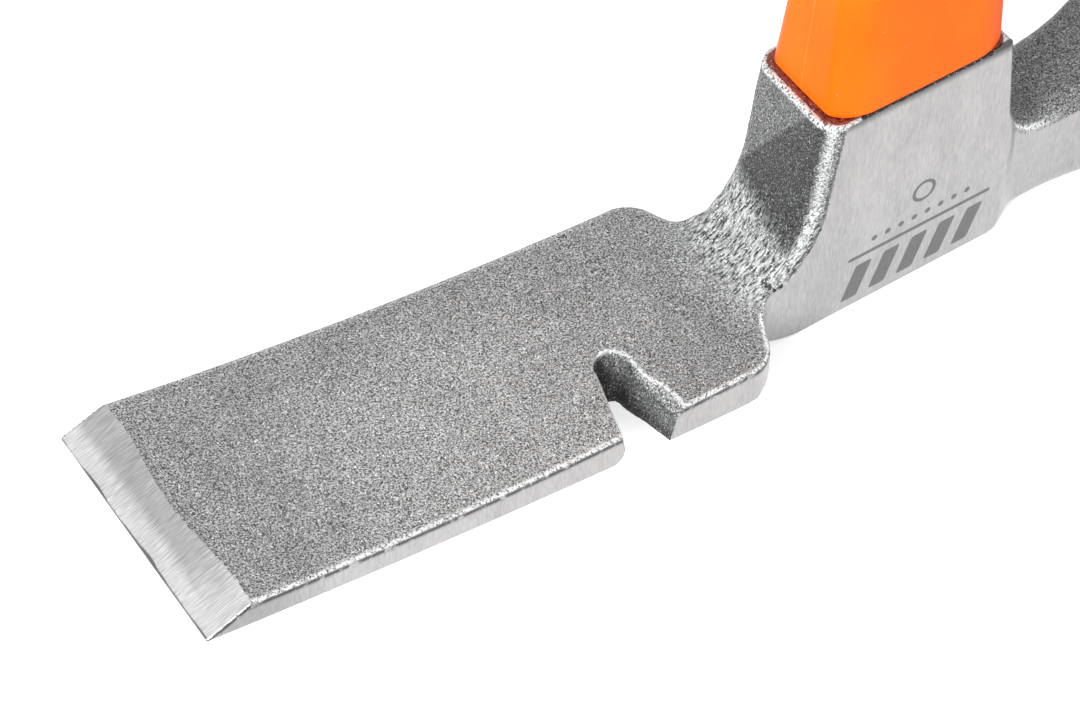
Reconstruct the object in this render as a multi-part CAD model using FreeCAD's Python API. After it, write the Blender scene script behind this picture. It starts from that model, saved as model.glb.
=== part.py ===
import FreeCAD, Part
import math
import os

from FreeCAD import Vector

# Carpenter's adze hammer. X runs from the blade (-X) to the poll (+X), Y across the blade, and Z
# up the handle. The origin is on the handle's axis, on the crown: the flat face of the eye that
# the tool stands on when its handle points up. All sizes are in millimetres.

# Blade: a slab that rises and thins towards its cutting edge, ground on one side only.
EDGE_X = -142.0
EDGE_Z = 20.2
EDGE_HALF_WIDTH = 23.0
BEVEL_LENGTH = 8.0
BEVEL_TOP_Z = 23.7
SHOULDER_X = -35.8
SHOULDER_HALF_WIDTH = 21.1
SHOULDER_TOP_Z = 12.2
SHOULDER_BOTTOM_Z = 3.9
BLADE_TOP_SAG = 1.9
BLADE_BOTTOM_SAG = 1.2

# Nail notch: a tapering slot in the -Y edge of the blade, with a sloping +X wall and end.
NOTCH_LEFT_SPREAD = 4.4
NOTCH_RIGHT_SPREAD = 0.4
NOTCH_END_X = -58.4
NOTCH_END_Y = -7.8
NOTCH_END_RADIUS = 3.4
NOTCH_WALL_SLOPE = 0.31
NOTCH_END_SLOPE = 0.42
NOTCH_LEVEL_Z = 13.6

# Eye: the block that the handle's core is bonded into.
EYE_HALF_WIDTH = 10.6
RIM_Z = 47.0
RIM_FRONT_X = -19.6
RIM_BACK_X = 18.2
HEEL_X = 22.8
HEEL_Z = 9.5
HEEL_RADIUS = 5.0
FRONT_CORNER_RADIUS = 4.2
CROWN_FRONT_X = -22.0
SWEEP_END_X = -42.0
SWEEP_END_Z = 12.4
ROOT_X = -12.0

# Poll: a neck behind the eye that swells to the hammer's square face.
NECK_HALF_WIDTH = 8.7
NECK_X = 30.0
NECK_TOP_Z = 21.8
NECK_BOTTOM_Z = 0.8
FACE_X = 59.0
FACE_HALF_WIDTH = 12.2
FACE_TOP_Z = 25.0
FACE_CHAMFER = 1.6
POLL_CORNER = 3.5

# Eye hole, its resin and the ring that closes it under the handle.
HOLE_HALF_LENGTH = 13.8
HOLE_HALF_WIDTH = 6.9
HOLE_WAIST_Z = 22.0
HOLE_WAIST_TAPER = 1.1
HOLE_CORNER = 3.2
RESIN_PLUG = 3.0
SEAT_DEPTH = 0.8
SEAT_FRONT_X = -18.4
SEAT_BACK_X = 17.4
SEAT_HALF_WIDTH = 9.8
SEAL_PROUD = 0.1

# Handle: a straight fibreglass core inside a hard jacket, with a soft sleeve over the grip.
CORE_HALF_LENGTH = 11.8
CORE_HALF_WIDTH = 5.0
CORE_CORNER = 2.4
CORE_TOP_Z = 292.0
GRIP_START_Z = 178.0
GRIP_END_Z = 308.0
SLEEVE_THICKNESS = 2.4
HANDLE_TOP_Z = 325.0
HANG_HOLE_X = -1.8
HANG_HOLE_Z = 315.5
HANG_HOLE_RADIUS = 4.0
HANDLE_REACH = 30.0
PAD_RECESS = 0.3
WINDOW_COUNT = 4
WINDOW_START_Z = 212.0
WINDOW_PITCH = 20.0
WINDOW_LENGTH = 16.0
WINDOW_HEIGHT = 8.0
WINDOW_CORNER = 3.0
WINDOW_SLANT = 24.0

# Outer sections of the handle: height, front X, back X, half width, corner radius.
NECK_SECTIONS = (
    (RIM_Z + SEAL_PROUD, -17.7, 17.6, 10.5, 5.0),
    (60.0, -16.7, 17.4, 9.6, 5.0),
    (76.0, -15.5, 17.0, 8.7, 5.0),
    (110.0, -14.0, 15.6, 8.2, 5.0),
    (150.0, -13.4, 14.4, 8.4, 5.0),
    (GRIP_START_Z, -14.0, 14.6, 9.2, 5.5),
)
GRIP_SECTIONS = (
    (GRIP_START_Z, -15.6, 16.2, 10.8, 6.5),
    (205.0, -16.8, 17.4, 12.0, 8.0),
    (240.0, -16.0, 17.8, 12.6, 8.5),
    (275.0, -15.6, 17.0, 12.2, 8.0),
    (295.0, -17.6, 17.0, 12.4, 8.0),
    (GRIP_END_Z, -20.4, 17.4, 13.0, 8.0),
)
CAP_SECTIONS = (
    (GRIP_END_Z, -20.4, 17.4, 13.0, 8.0),
    (317.0, -21.0, 17.6, 13.0, 8.0),
    (HANDLE_TOP_Z, -18.0, 15.0, 10.6, 7.0),
)


def rounded_rectangle(front, back, half_width, radius, z):
    """A closed wire at height z, with four equal round corners."""
    half_length = (back - front) / 2
    middle = (back + front) / 2
    edges = []
    corners = ((1, 1, 0), (-1, 1, 90), (-1, -1, 180), (1, -1, 270))
    arcs = []
    for sign_x, sign_y, start in corners:
        centre_x = middle + sign_x * (half_length - radius)
        centre_y = sign_y * (half_width - radius)
        arc = []
        for degrees in (start, start + 45, start + 90):
            angle = math.radians(degrees)
            arc.append(Vector(centre_x + radius * math.cos(angle), centre_y + radius * math.sin(angle), z))
        arcs.append(arc)
    for index, arc in enumerate(arcs):
        edges.append(Part.Arc(*arc).toShape())
        following = arcs[(index + 1) % len(arcs)]
        edges.append(Part.LineSegment(arc[2], following[0]).toShape())
    return Part.Wire(edges)


def loft(sections):
    """A smooth solid through rounded rectangles (height, front X, back X, half width, radius)."""
    wires = [rounded_rectangle(front, back, width, radius, z) for z, front, back, width, radius in sections]
    return Part.makeLoft(wires, True, False)


def inset(sections, depth):
    """The same sections, each drawn in by depth on every side."""
    return [(z, front + depth, back - depth, width - depth, radius - depth)
            for z, front, back, width, radius in sections]


def extrude_side_profile(edges, half_width):
    """A solid from a closed outline in the XZ plane, spread equally to both sides in Y."""
    face = Part.Face(Part.Wire(edges))
    face.translate(Vector(0, -half_width, 0))
    return face.extrude(Vector(0, 2 * half_width, 0))


def side(x, z):
    return Vector(x, 0, z)


def line(start, end):
    return Part.LineSegment(start, end).toShape()


def sagging_arc(start, end, sag):
    """An arc that hangs by sag below the middle of the line from start to end."""
    middle = (start + end) * 0.5 - Vector(0, 0, sag)
    return Part.Arc(start, middle, end).toShape()


def blade():
    """The blade's side profile, cut to its plan outline with the sloping shoulders."""
    tip = side(EDGE_X, EDGE_Z)
    bevel_top = side(EDGE_X + BEVEL_LENGTH, BEVEL_TOP_Z)
    top_end = side(SHOULDER_X, SHOULDER_TOP_Z)
    bottom_end = side(SHOULDER_X, SHOULDER_BOTTOM_Z)
    crown = side(CROWN_FRONT_X, 0)
    blend = Part.BezierCurve()
    blend.setPoles([bottom_end, bottom_end + Vector(4.8, 0, -0.5), crown - Vector(5, 0, 0), crown])
    profile = extrude_side_profile(
        [
            line(tip, bevel_top),
            sagging_arc(bevel_top, top_end, BLADE_TOP_SAG),
            line(top_end, side(ROOT_X, SHOULDER_TOP_Z)),
            line(side(ROOT_X, SHOULDER_TOP_Z), side(ROOT_X, 0)),
            line(side(ROOT_X, 0), crown),
            blend.toShape(),
            sagging_arc(bottom_end, tip, BLADE_BOTTOM_SAG),
        ],
        EDGE_HALF_WIDTH,
    )
    return profile.common(blade_plan())


def blade_plan():
    """A tall prism with the blade's plan outline: tapering sides, round shoulders, hollow neck."""
    low, high = -5.0, 60.0
    outline = []
    for sign in (1, -1):
        edge = Vector(EDGE_X, sign * EDGE_HALF_WIDTH, low)
        shoulder_start = Vector(SHOULDER_X - 3.6, sign * SHOULDER_HALF_WIDTH, low)
        shoulder_middle = Vector(SHOULDER_X - 0.6, sign * (SHOULDER_HALF_WIDTH - 1.3), low)
        shoulder_end = Vector(SHOULDER_X + 1.2, sign * (SHOULDER_HALF_WIDTH - 4.2), low)
        neck_start = Vector(SHOULDER_X + 3.4, sign * (EYE_HALF_WIDTH + 2.9), low)
        neck_middle = Vector(SHOULDER_X + 4.5, sign * (EYE_HALF_WIDTH + 1.0), low)
        neck_end = Vector(SHOULDER_X + 6.4, sign * EYE_HALF_WIDTH, low)
        root = Vector(ROOT_X, sign * EYE_HALF_WIDTH, low)
        outline.append([
            line(edge, shoulder_start),
            Part.Arc(shoulder_start, shoulder_middle, shoulder_end).toShape(),
            line(shoulder_end, neck_start),
            Part.Arc(neck_start, neck_middle, neck_end).toShape(),
            line(neck_end, root),
        ])
    far, near = outline
    ends = [
        line(Vector(EDGE_X, EDGE_HALF_WIDTH, low), Vector(EDGE_X, -EDGE_HALF_WIDTH, low)),
        line(Vector(ROOT_X, EYE_HALF_WIDTH, low), Vector(ROOT_X, -EYE_HALF_WIDTH, low)),
    ]
    wire = Part.Wire(Part.__sortEdges__(far + near + ends))
    return Part.Face(wire).extrude(Vector(0, 0, high - low))


def notch():
    """The space of the nail notch, with its +X wall and its end leaning in towards the bottom."""
    outside_y = -30.0
    wires = []
    for z in (2.0, 20.0):
        height = z - NOTCH_LEVEL_Z
        lean = NOTCH_WALL_SLOPE * height
        centre_x = NOTCH_END_X + lean / 2
        radius = NOTCH_END_RADIUS + lean / 2
        end_y = NOTCH_END_Y + NOTCH_END_SLOPE * height
        left_end = Vector(centre_x - radius, end_y, z)
        right_end = Vector(centre_x + radius, end_y, z)
        tip = Vector(centre_x, end_y + radius, z)
        spread = (outside_y - end_y) / (-EDGE_HALF_WIDTH - NOTCH_END_Y)
        left_mouth = Vector(left_end.x - NOTCH_LEFT_SPREAD * spread, outside_y, z)
        right_mouth = Vector(right_end.x + NOTCH_RIGHT_SPREAD * spread, outside_y, z)
        wires.append(Part.Wire([
            line(left_mouth, left_end),
            Part.Arc(left_end, tip, right_end).toShape(),
            line(right_end, right_mouth),
            line(right_mouth, left_mouth),
        ]))
    return Part.makeLoft(wires, True, True)


def eye_block():
    """The eye's side profile, whose front sweeps forward into the top of the blade."""
    front = Part.BSplineCurve()
    front.interpolate([
        side(RIM_FRONT_X, RIM_Z),
        side(-21.1, 35.0),
        side(-22.6, 27.0),
        side(-25.6, 20.0),
        side(-31.4, 14.8),
        side(SWEEP_END_X, SWEEP_END_Z),
    ])
    inside = side(CROWN_FRONT_X, 6.0)
    heel_start = side(HEEL_X - HEEL_RADIUS, 0)
    heel_middle = side(HEEL_X - 1.4, 1.6)
    heel_end = side(HEEL_X, HEEL_RADIUS)
    block = extrude_side_profile(
        [
            front.toShape(),
            line(side(SWEEP_END_X, SWEEP_END_Z), inside),
            line(inside, side(CROWN_FRONT_X, 0)),
            line(side(CROWN_FRONT_X, 0), heel_start),
            Part.Arc(heel_start, heel_middle, heel_end).toShape(),
            line(heel_end, side(HEEL_X, HEEL_Z)),
            line(side(HEEL_X, HEEL_Z), side(RIM_BACK_X, RIM_Z)),
            line(side(RIM_BACK_X, RIM_Z), side(RIM_FRONT_X, RIM_Z)),
        ],
        EYE_HALF_WIDTH,
    )
    corners = []
    for edge in block.Edges:
        box = edge.BoundBox
        on_cheek = box.YLength < 0.01 and abs(abs(box.YMin) - EYE_HALF_WIDTH) < 0.01
        if on_cheek and box.XMin < RIM_FRONT_X - 10 and box.ZMax > RIM_Z - 0.1:
            corners.append(edge)
    return block.makeFillet(FRONT_CORNER_RADIUS, corners)


def poll():
    """The neck and the hammer's end, lofted along X, with a chamfer round the striking face."""
    stations = (
        (14.0, NECK_HALF_WIDTH, NECK_BOTTOM_Z, 36.0),
        (23.0, NECK_HALF_WIDTH, NECK_BOTTOM_Z, 25.4),
        (NECK_X, NECK_HALF_WIDTH, NECK_BOTTOM_Z, NECK_TOP_Z),
        (NECK_X + 8, NECK_HALF_WIDTH + 0.5, NECK_BOTTOM_Z - 0.1, NECK_TOP_Z),
        (FACE_X - 13, FACE_HALF_WIDTH - 1.9, NECK_BOTTOM_Z - 0.3, NECK_TOP_Z + 0.2),
        (FACE_X - 6, FACE_HALF_WIDTH - 0.6, NECK_BOTTOM_Z - 0.5, FACE_TOP_Z - 1.1),
        (FACE_X, FACE_HALF_WIDTH, NECK_BOTTOM_Z - 0.6, FACE_TOP_Z),
    )
    wires = []
    for x, half_width, low, high in stations:
        wire = rounded_rectangle(low, high, half_width, POLL_CORNER, 0)
        wire.rotate(Vector(0, 0, 0), Vector(0, 1, 0), -90)
        wire.translate(Vector(x, 0, 0))
        wires.append(wire)
    neck = Part.makeLoft(wires, True, False)
    face_edges = [edge for edge in neck.Edges if edge.BoundBox.XMin > FACE_X - 0.01]
    return neck.makeChamfer(FACE_CHAMFER, face_edges)


def eye_hole():
    """The eye's hole, narrowest at its waist so that the cured resin can't pull out."""
    half_length, half_width, corner = HOLE_HALF_LENGTH, HOLE_HALF_WIDTH, HOLE_CORNER
    taper = HOLE_WAIST_TAPER
    return loft((
        (0.0, -half_length, half_length, half_width, corner),
        (HOLE_WAIST_Z, taper - half_length, half_length - taper, half_width - taper, corner),
        (RIM_Z, -half_length, half_length, half_width, corner),
    ))


def seat():
    """The shallow recess in the rim that holds the seal."""
    wire = rounded_rectangle(SEAT_FRONT_X, SEAT_BACK_X, SEAT_HALF_WIDTH, 3.0, RIM_Z - SEAT_DEPTH)
    return Part.Face(wire).extrude(Vector(0, 0, SEAT_DEPTH + SEAL_PROUD))


def core():
    """The straight fibreglass bar that runs from the eye to the butt."""
    wire = rounded_rectangle(-CORE_HALF_LENGTH, CORE_HALF_LENGTH, CORE_HALF_WIDTH, CORE_CORNER, RESIN_PLUG)
    return Part.Face(wire).extrude(Vector(0, 0, CORE_TOP_Z - RESIN_PLUG))


def adze_head():
    head = blade().fuse([eye_block(), poll()]).removeSplitter()
    return head.cut([eye_hole(), seat(), notch()]).removeSplitter()


def eye_resin(bar):
    """The bond between the core and the eye, flush with the crown, where it covers the core."""
    return eye_hole().cut([bar, seat()])


def eye_seal(bar):
    return seat().cut(bar)


def grip_windows():
    """Slanted slots right across the grip, through which the jacket's pads show in the sleeve."""
    bars = []
    for number in range(WINDOW_COUNT):
        corner = Vector(-WINDOW_LENGTH / 2, -HANDLE_REACH, -WINDOW_HEIGHT / 2)
        window = Part.makeBox(WINDOW_LENGTH, 2 * HANDLE_REACH, WINDOW_HEIGHT, corner)
        across = [edge for edge in window.Edges if edge.BoundBox.YLength > HANDLE_REACH]
        window = window.makeFillet(WINDOW_CORNER, across)
        window.rotate(Vector(0, 0, 0), Vector(0, 1, 0), -WINDOW_SLANT)
        window.translate(Vector(0.6, 0, WINDOW_START_Z + number * WINDOW_PITCH))
        bars.append(window)
    return Part.makeCompound(bars)


def hang_hole():
    """The hole across the butt for a hook or a cord."""
    start = Vector(HANG_HOLE_X, -HANDLE_REACH, HANG_HOLE_Z)
    return Part.makeCylinder(HANG_HOLE_RADIUS, 2 * HANDLE_REACH, start, Vector(0, 1, 0))


def handle_jacket(bar):
    """The hard shell: the bare neck of the handle, and the carrier and pads under the sleeve."""
    neck = loft(NECK_SECTIONS)
    carrier = loft(inset(GRIP_SECTIONS, SLEEVE_THICKNESS))
    pads = loft(inset(GRIP_SECTIONS, PAD_RECESS)).common(grip_windows())
    return neck.fuse([carrier, pads]).cut(bar).removeSplitter()


def grip_sleeve():
    """The soft sleeve over the carrier, open where the pads stand through it."""
    outer = loft(GRIP_SECTIONS)
    carrier = loft(inset(GRIP_SECTIONS, SLEEVE_THICKNESS))
    return outer.cut([carrier, grip_windows()]).removeSplitter()


def butt_cap():
    return loft(CAP_SECTIONS).cut(hang_hole())


def main():
    os.makedirs("parts", exist_ok=True)
    bar = core()
    pieces = {
        "adze_head": adze_head(),
        "eye_resin": eye_resin(bar),
        "eye_seal": eye_seal(bar),
        "fibreglass_core": bar,
        "handle_jacket": handle_jacket(bar),
        "grip_sleeve": grip_sleeve(),
        "butt_cap": butt_cap(),
    }
    for name, shape in pieces.items():
        box = shape.BoundBox
        print(name, shape.isValid(), len(shape.Solids), round(shape.Volume / 1000, 2), "cm3",
              [round(value, 2) for value in (box.XMin, box.YMin, box.ZMin, box.XMax, box.YMax, box.ZMax)])
        shape.exportStep("parts/" + name + ".step")


main()
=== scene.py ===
import math

import bpy
import numpy as np
import openvdb
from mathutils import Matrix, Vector


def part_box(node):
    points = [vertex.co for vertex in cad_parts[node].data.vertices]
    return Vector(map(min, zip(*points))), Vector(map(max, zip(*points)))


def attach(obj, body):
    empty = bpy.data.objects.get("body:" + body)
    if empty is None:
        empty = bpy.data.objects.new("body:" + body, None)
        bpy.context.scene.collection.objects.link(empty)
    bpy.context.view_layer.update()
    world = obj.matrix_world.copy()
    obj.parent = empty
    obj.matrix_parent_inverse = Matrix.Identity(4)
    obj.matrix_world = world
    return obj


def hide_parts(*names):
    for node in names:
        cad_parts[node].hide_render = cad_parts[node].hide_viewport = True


# Carpenter's adze hammer. Every visible piece is a solid described by a signed distance in
# millimetres: below 0 inside, above 0 outside. It is meshed, settled on its true surface and
# roughened here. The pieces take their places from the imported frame's boxes.

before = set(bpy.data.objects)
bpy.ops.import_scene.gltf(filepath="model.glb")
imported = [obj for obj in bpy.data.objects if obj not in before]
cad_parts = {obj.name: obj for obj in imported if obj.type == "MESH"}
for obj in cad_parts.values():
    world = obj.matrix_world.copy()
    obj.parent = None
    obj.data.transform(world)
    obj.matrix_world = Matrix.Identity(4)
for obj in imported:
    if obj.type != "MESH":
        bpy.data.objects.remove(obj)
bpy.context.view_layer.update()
MM = 0.001


def box_mm(node):
    low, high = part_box(node)
    return np.array(low) / MM, np.array(high) / MM


HEAD_LOW, HEAD_HIGH = box_mm("adze_head")
SEAL_LOW, SEAL_HIGH = box_mm("eye_seal")
JACKET_LOW, JACKET_HIGH = box_mm("handle_jacket")
SLEEVE_LOW, SLEEVE_HIGH = box_mm("grip_sleeve")
CAP_LOW, CAP_HIGH = box_mm("butt_cap")

# Blade, in millimetres. The cutting edge's X and width come from the frame.
EDGE_X = HEAD_LOW[0]
EDGE_Z = 20.2
EDGE_LAND = 0.35
EDGE_HALF_WIDTH = HEAD_HIGH[1]
BEVEL_LENGTH = 8.0
BEVEL_TOP_Z = 23.7
BEVEL_SLOPE = 0.432
BEVEL_WAVE = 0.058
BEVEL_WAVE_LENGTH = 36
SHOULDER_X = -35.8
SHOULDER_HALF_WIDTH = 21.1
SHOULDER_TOP_Z = 12.2
SHOULDER_BOTTOM_Z = 3.9
SHOULDER_SLOPE = 0.45
BLADE_TOP_SAG = 1.9
BLADE_BOTTOM_SAG = 1.2
BLADE_ROOT_X = -14.0

# Nail notch, where it opens in the blade's top. The slopes are per millimetre of depth.
NOTCH_LEFT_X = -61.7
NOTCH_RIGHT_X = -55.35
NOTCH_END_Y = -7.9
NOTCH_SPREAD = 0.30
NOTCH_END_SLOPE = 0.50
NOTCH_WALL_SLOPE = 0.52

# Eye. The rim's height comes from the frame.
EYE_HALF_WIDTH = 10.6
RIM_Z = HEAD_HIGH[2]
RIM_FRONT_X = -19.6
RIM_BACK_X = 18.2
HEEL_Z = 9.0
HEEL_LEAN = 0.109
HEEL_RADIUS = 5.0
FRONT_LEAN = 0.13
FRONT_FOOT = 3.4
SWEEP_RADIUS = 16.0
SWEEP_END_X = SHOULDER_X - 12
CORNER_RADIUS = 4.2

# Poll: a neck that swells to the striking face. The face's place comes from the frame.
POLL_X = HEAD_HIGH[0]
POLL_ROOT_X = 12.0
POLL_HALF_WIDTH = 12.2
POLL_TOP_Z = 25.0
POLL_FILLET = 3.2
NECK_X = 30.0
NECK_HALF_WIDTH = 8.7
NECK_TOP_Z = 21.8
NECK_BOTTOM_Z = 0.8
NECK_FILLET = 9.0
SWELL_X = 44.0
FACE_RADIUS = 450.0
FACE_CHAMFER = 1.8

# Eye hole, the seat in the rim, and the core that stands in them.
HOLE_HALF_LENGTH = 13.8
HOLE_HALF_WIDTH = 6.9
HOLE_CORNER = 3.2
HOLE_WAIST_Z = 22.0
HOLE_WAIST_TAPER = 1.1
SEAT_CORNER = 3.0
CORE_HALF_LENGTH = 11.8
CORE_HALF_WIDTH = 5.0
CORE_CORNER = 2.4

# Cosines of the leans of the blade, the eye's front and its heel. They turn a height or a run
# above such a face into a distance from it.
BLADE_COSINE = 0.985
FRONT_COSINE = 0.992
HEEL_COSINE = 0.994

# Sizes of the cells that the pieces are meshed with.
HEAD_CELL = 0.36
HANDLE_CELL = 0.45
CAP_CELL = 0.4
SEAL_CELL = 0.22

# How far below its plane a ground or bevelled flat still counts as one.
SKIN = 0.06


# ---------------------------------------------------------------- signed distance of the head

def round_max(a, b, radius):
    """Intersection of two solids with a round edge."""
    corner = np.hypot(np.maximum(a + radius, 0), np.maximum(b + radius, 0))
    return np.minimum(np.maximum(a, b), -radius) + corner


def round_min(a, b, radius):
    """Union of two solids with a round inner corner."""
    return -round_max(-a, -b, radius)


def smooth_step(low, high, value):
    """0 where value is below low, 1 above high, and smooth between."""
    t = np.clip((value - low) / (high - low), 0, 1)
    return t * t * (3 - 2 * t)


def hump(value, middle, width):
    """A smooth rise to 1 at middle, as wide as width to each side."""
    return np.exp(-((value - middle) / width) ** 2)


def blade_top(x):
    t = (x - EDGE_X - BEVEL_LENGTH) / (SHOULDER_X - EDGE_X - BEVEL_LENGTH)
    t = np.minimum(t, 1.0)
    return BEVEL_TOP_Z * (1 - t) + SHOULDER_TOP_Z * t - 4 * BLADE_TOP_SAG * t * (1 - t)


def blade_bottom(x):
    """The blade's underside, which runs down into the flat crown."""
    t = np.minimum((x - EDGE_X) / (SHOULDER_X - EDGE_X), 1.0)
    slab = EDGE_Z * (1 - t) + SHOULDER_BOTTOM_Z * t - 4 * BLADE_BOTTOM_SAG * t * (1 - t)
    return slab * (1 - smooth_step(SHOULDER_X, SHOULDER_X + 14, x))


def blade_half_width(x):
    t = (x - EDGE_X) / (SHOULDER_X - EDGE_X)
    return EDGE_HALF_WIDTH + (SHOULDER_HALF_WIDTH - EDGE_HALF_WIDTH) * t


def sweep_lift(x):
    """Height of the eye's concave front above the blade's top, capped inside the neck."""
    start = RIM_FRONT_X - SWEEP_RADIUS - FRONT_FOOT
    run = np.clip(x - start, 0, 9.5)
    return SWEEP_RADIUS - np.sqrt(SWEEP_RADIUS ** 2 - run ** 2)


def bevel_distance(x, y, z):
    """Above the hand-ground bevel, which is steepest in the middle of the edge."""
    slope = BEVEL_SLOPE + BEVEL_WAVE * np.cos(2 * np.pi * y / BEVEL_WAVE_LENGTH)
    return (z - EDGE_Z - EDGE_LAND - slope * (x - EDGE_X)) / np.sqrt(1 + slope ** 2)


def shoulder_distance(x, y):
    """Behind the blade's sloping shoulders. 1.097 is the gradient's length, which makes it a
    distance."""
    return (x + 33.6 + SHOULDER_SLOPE * (np.abs(y) - 16.6)) / 1.097


def plan_distance(x, y):
    """The blade's outline from above, with round shoulders and a hollow corner to the neck."""
    wide = round_max(np.abs(y) - blade_half_width(x), shoulder_distance(x, y), 3.4)
    return round_min(wide, np.abs(y) - EYE_HALF_WIDTH, 2.6)


def notch_distance(x, y, z):
    """Inside the nail notch: a round-ended slot that opens to -Y. Its end leans in towards the
    bottom, and so does its +X wall, which is steeper and more chamfered towards the mouth."""
    height = np.clip(z - blade_top(x), -12, 2)
    end_y = NOTCH_END_Y + NOTCH_END_SLOPE * height
    flare = np.maximum(end_y - y, 0)
    left = NOTCH_LEFT_X - NOTCH_SPREAD * flare
    chamfer = smooth_step(1.5, 11.0, NOTCH_END_Y - y) * np.maximum(height + 1.7, 0) * 1.05
    lean = np.maximum(NOTCH_WALL_SLOPE - 0.030 * flare, 0.1) * np.minimum(height, 0)
    right = NOTCH_RIGHT_X + 0.02 * flare + lean + chamfer
    right = right - 0.35 * hump(y, -12.7, 2.5)
    centre = (left + right) / 2
    half = (right - left) / 2
    across = (np.abs(x - centre) - half) * 0.97
    end = (np.hypot(x - centre, np.maximum(y - end_y, 0)) - half) * 0.93
    return np.where(y < end_y, across, end)


def blade_distance(x, y, z):
    """The blade, with its shoulders and the foot of the notch's -X wall well rounded."""
    wide = np.abs(y)
    spread = 1 - smooth_step(8.0, 15.5, wide)
    top = (z - blade_top(x) - sweep_lift(x) * spread) * BLADE_COSINE
    bottom = (blade_bottom(x) - z) * BLADE_COSINE
    solid = round_max(plan_distance(x, y), top, 0.45)
    solid = round_max(solid, bottom, 0.35)
    beside_neck = shoulder_distance(x, wide) - 30 * (wide < 12.5)
    solid = np.maximum(solid, round_max(beside_neck, bottom, 5.0))
    solid = np.maximum(solid, bevel_distance(x, y, z))
    solid = np.maximum(solid, np.maximum(x - BLADE_ROOT_X, EDGE_X - x))
    gap = notch_distance(x, y, z)
    left_foot = round_max(-gap, bottom, 3.6)
    near_left_foot = (x > -72) & (x < -60) & (y < -16)
    solid = round_max(solid, -gap, 0.35)
    return np.where(near_left_foot, np.maximum(solid, left_foot), solid)


def cheek_distance(y):
    return np.abs(y) - EYE_HALF_WIDTH


def eye_front(x, z):
    """Ahead of the eye's leaning front, which sweeps forward into the blade's top."""
    lean = (RIM_FRONT_X - FRONT_LEAN * (RIM_Z - z) - x) * FRONT_COSINE
    return round_min(lean, (z - blade_top(x)) * BLADE_COSINE, SWEEP_RADIUS)


def eye_distance(x, y, z):
    """The block round the eye. Its heel's upright edges are rounder beside the poll's neck."""
    cheek = cheek_distance(y)
    back = (x - RIM_BACK_X - HEEL_LEAN * (RIM_Z - np.maximum(z, HEEL_Z))) * HEEL_COSINE
    heel_edge = 3.4 - 1.8 * smooth_step(14, 22, z)
    solid = round_max(eye_front(x, z), cheek, CORNER_RADIUS)
    solid = np.maximum(solid, round_max(back, cheek, heel_edge))
    solid = round_max(solid, (blade_bottom(x) - z) * BLADE_COSINE, 0.35)
    solid = np.maximum(solid, round_max(back, -z, HEEL_RADIUS))
    solid = round_max(solid, z - RIM_Z, 0.7)
    return np.maximum(solid, SWEEP_END_X - x)


def poll_top(x):
    """Curves down from the eye's heel to the neck, and swells again towards the face."""
    rise = smooth_step(SWELL_X, POLL_X, x) * (POLL_TOP_Z - NECK_TOP_Z)
    run = np.clip(NECK_X - x, 0, NECK_FILLET - 0.1)
    fillet = NECK_FILLET - np.sqrt(NECK_FILLET ** 2 - run ** 2)
    return NECK_TOP_Z + rise + fillet


def poll_half_width(x):
    """Widens slowly along the neck and faster towards the face."""
    run = np.clip((x - NECK_X) / (POLL_X - 3 - NECK_X), 0, 1)
    return NECK_HALF_WIDTH + (POLL_HALF_WIDTH - NECK_HALF_WIDTH) * run ** 1.6


def poll_distance(x, y, z):
    """The neck and the slightly domed, chamfered striking face."""
    towards_face = smooth_step(NECK_X, POLL_X - 8, x)
    low = NECK_BOTTOM_Z - 0.6 * towards_face
    side = np.abs(y) - poll_half_width(x)
    section = round_max(side, z - poll_top(x), 4.4 - 1.0 * towards_face)
    section = round_max(section, low - z, 3.0)
    dome = (y ** 2 + (z - POLL_TOP_Z / 2) ** 2) / (2 * FACE_RADIUS)
    face = x - POLL_X + dome
    chamfer = (section + face + FACE_CHAMFER) * math.sqrt(0.5)
    solid = round_max(np.maximum(section, face), chamfer, 0.25)
    return np.maximum(solid, POLL_ROOT_X - x)


def rounded_box_plan(x, y, half_x, half_y, radius):
    dx = np.abs(x) - half_x + radius
    dy = np.abs(y) - half_y + radius
    return np.hypot(np.maximum(dx, 0), np.maximum(dy, 0)) + np.minimum(np.maximum(dx, dy), 0) - radius


def seat_plan(x, y):
    """The outline of the seal and of its seat, seen from above."""
    middle = (SEAL_LOW[0] + SEAL_HIGH[0]) / 2
    half_length = (SEAL_HIGH[0] - SEAL_LOW[0]) / 2
    return rounded_box_plan(x - middle, y, half_length, SEAL_HIGH[1], SEAT_CORNER)


def hole_distance(x, y, z):
    """Inside the eye's hourglass hole and the seal's shallow seat above it."""
    waist = HOLE_WAIST_TAPER * (1 - np.clip(np.abs(z - HOLE_WAIST_Z) / HOLE_WAIST_Z, 0, 1))
    hole = rounded_box_plan(x, y, HOLE_HALF_LENGTH - waist, HOLE_HALF_WIDTH - waist, HOLE_CORNER)
    return np.minimum(hole, np.maximum(seat_plan(x, y), SEAL_LOW[2] - z))


def head_distance(x, y, z):
    """The whole head. The poll's fillet stops at the plane that the cheeks are ground to."""
    solid = np.minimum(blade_distance(x, y, z), eye_distance(x, y, z))
    solid = round_min(solid, poll_distance(x, y, z), POLL_FILLET)
    beside_poll = (x > 5) & (x < 40)
    solid = np.where(beside_poll, np.maximum(solid, cheek_distance(y)), solid)
    return round_max(solid, -hole_distance(x, y, z), 0.3)


# ---------------------------------------------------------------- mesh helpers

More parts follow.
